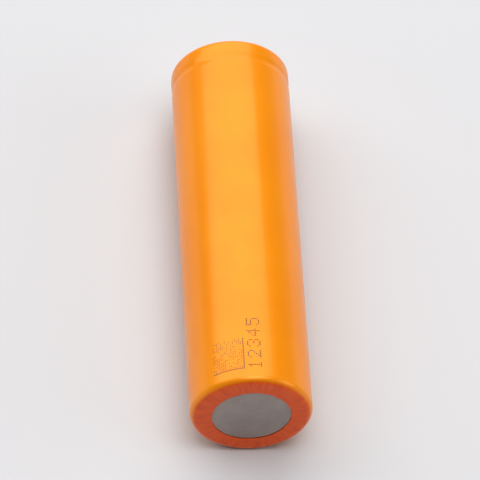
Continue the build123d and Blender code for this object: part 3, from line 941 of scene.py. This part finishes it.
def make_negative_coating():
    return make_coating("negative_coating", (0.035, 0.035, 0.038, 1), (0.085, 0.085, 0.09, 1))


# %% [markdown]
# The resettable over-current ring is black polymer pressed between two metal foils. Its faces show foil
# and its inner and outer edges show polymer, so a mask by radius, in millimetres, chooses between them.

# %% Over-current ring
ptc_width = 2.8
foil_start = 0.02
foil_full = 0.06


def make_ptc_polymer():
    material, tree, shader, place = new_material("ptc_polymer")
    ring_low, ring_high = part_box("ptc_disc")
    outer = (ring_high.x - ring_low.x) / 2 / mm
    inner = outer - ptc_width
    grain = put(tree, "TexNoise", {"Vector": place["Place"], "Scale": 6.0, "Detail": 3.0}).outputs["Fac"]
    past_inner = ramp(tree, place["Radius"], inner + foil_start, inner + foil_full)
    past_outer = ramp(tree, place["Radius"], outer - foil_start, outer - foil_full)
    foil = calc(tree, "MULTIPLY", past_inner, past_outer)
    polymer = mix(tree, grain, (0.02, 0.02, 0.02, 1), (0.05, 0.048, 0.045, 1))
    feed(tree, mix(tree, foil, polymer, (0.58, 0.56, 0.52, 1)), shader["Base Color"])
    feed(tree, foil, shader["Metallic"])
    feed(tree, ramp(tree, grain, 0.3, 0.7, 0.4, 0.6), shader["Roughness"])
    feed(tree, bump(tree, grain, 0.004 * mm), shader["Normal"])
    return material


# %% [markdown]
# Every material is made once and given to the pieces by the record's slots: a CAD node takes the one
# its row names, and a new piece takes the one of the node it stands for. The ink has no slot of its own.

# %% Give every piece its finish
makers = {
    "sleeve_film": make_sleeve_film,
    "fibre_washer": make_fibre_washer,
    "can_steel": make_shaded_can_steel,
    "gasket_plastic": make_gasket_plastic,
    "cap_steel": make_cap_steel,
    "ptc_polymer": make_ptc_polymer,
    "vent_aluminium": make_vent_aluminium,
    "cid_plastic": make_cid_plastic,
    "plate_aluminium": make_plate_aluminium,
    "tab_aluminium": make_tab_aluminium,
    "tab_tape": make_tab_tape,
    "insulator_plastic": make_insulator_plastic,
    "positive_coating": make_positive_coating,
    "negative_coating": make_negative_coating,
    "separator_film": make_separator_film,
    "roll_tape": make_roll_tape,
    "pin_steel": make_pin_steel,
    "tab_nickel": make_tab_nickel,
}
finishes = {slot_name: make() for slot_name, make in makers.items()}


def paint(piece, material):
    """Put a material in the piece's only slot."""
    if not piece.material_slots:
        piece.data.materials.append(material)
    piece.material_slots[0].material = material


for row in frame["record"]["subparts"]:
    paint(frame["nodes"][row["node"]], finishes[row["material_slot"]])
paint(film_sleeve, finishes["sleeve_film"])
paint(terminal_cap, finishes["cap_steel"])
paint(fibre_washer, finishes["fibre_washer"])
paint(drawn_can, finishes["can_steel"])
ink = make_ink()
paint(printed_digits, ink)
paint(printed_block, ink)
print("finishes:", len(finishes) + 1)

# %% [markdown]
# The cell lies on a pale studio floor that curves up into a low wall all round, so there is no horizon
# from any side. The floor is turned like a piece of the cell, but about an upright axis, from a chain
# with one rounded corner.

# %% Studio floor
floor_radius = 1.3
wall_height = 0.22
sweep_radius = 0.2
floor_steps = 96
bm = bmesh.new()
floor_corners = [(0, 0, 0), (floor_radius, 0, 0), (floor_radius, 0, wall_height)]
base = [bm.verts.new(place) for place in floor_corners]
for first, second in zip(base, base[1:]):
    bm.edges.new((first, second))
round_corner(bm, base[1], sweep_radius, segments=16)
turn(bm, floor_steps, axis=(0, 0, 1), merge_distance=0.01 * mm)
for face in bm.faces:
    face.smooth = True
floor_mesh = bpy.data.meshes.new("studio_floor")
bm.to_mesh(floor_mesh)
bm.free()
studio_floor = bpy.data.objects.new("studio_floor", floor_mesh)
bpy.context.scene.collection.objects.link(studio_floor)
studio_floor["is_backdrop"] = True


def make_floor_paper():
    material = bpy.data.materials.new("floor_paper")
    material.use_nodes = True
    tree = material.node_tree
    shader = tree.nodes["Principled BSDF"].inputs
    local = put(tree, "TexCoord").outputs["Object"]
    tone = put(tree, "TexNoise", {"Vector": local, "Scale": 3.0, "Detail": 2.0}).outputs["Fac"]
    feed(tree, mix(tree, tone, (0.60, 0.595, 0.605, 1), (0.63, 0.625, 0.635, 1)), shader["Base Color"])
    shader["Roughness"].default_value = 0.85
    return material


paint(studio_floor, make_floor_paper())
print("floor:", round(2 * floor_radius, 2), "m across")

# %% [markdown]
# The light is soft. A large window, high behind the cell and a little to its left, lays the broad pale
# band along the sleeve, and a ceiling light nearly overhead brightens its top. The near end is left in
# shade. A small light from the right gives the thin rim there, and the pale room fills the rest.

# %% Lights
def soft_box(name, direction, distance, width, height, radiance):
    """A rectangular area light aimed at the cell, its brightness given as the radiance of its face."""
    towards = Vector(direction).normalized()
    light = bpy.data.objects.new(name, bpy.data.lights.new(name, "AREA"))
    bpy.context.scene.collection.objects.link(light)
    light.data.shape = "RECTANGLE"
    light.data.size = width
    light.data.size_y = height
    light.data.energy = math.pi * width * height * radiance
    light.location = cell_centre + towards * distance
    light.rotation_mode = "QUATERNION"
    light.rotation_quaternion = (-towards).to_track_quat("-Z", "Y")
    print(name, "power:", round(light.data.energy, 1), "W")


soft_box("window", (-0.24, 0.60, 0.77), distance=0.8, width=1.6, height=0.8, radiance=2.1)
soft_box("ceiling", (0.08, -0.12, 1.0), distance=0.95, width=0.7, height=0.6, radiance=4.2)
soft_box("side", (0.85, -0.20, 0.42), distance=0.8, width=0.5, height=0.35, radiance=1.8)

world = bpy.data.worlds.new("pale_room")
bpy.context.scene.world = world
world.use_nodes = True
room = world.node_tree.nodes["Background"].inputs
room["Color"].default_value = (0.94, 0.96, 1.0, 1)
room["Strength"].default_value = 0.14
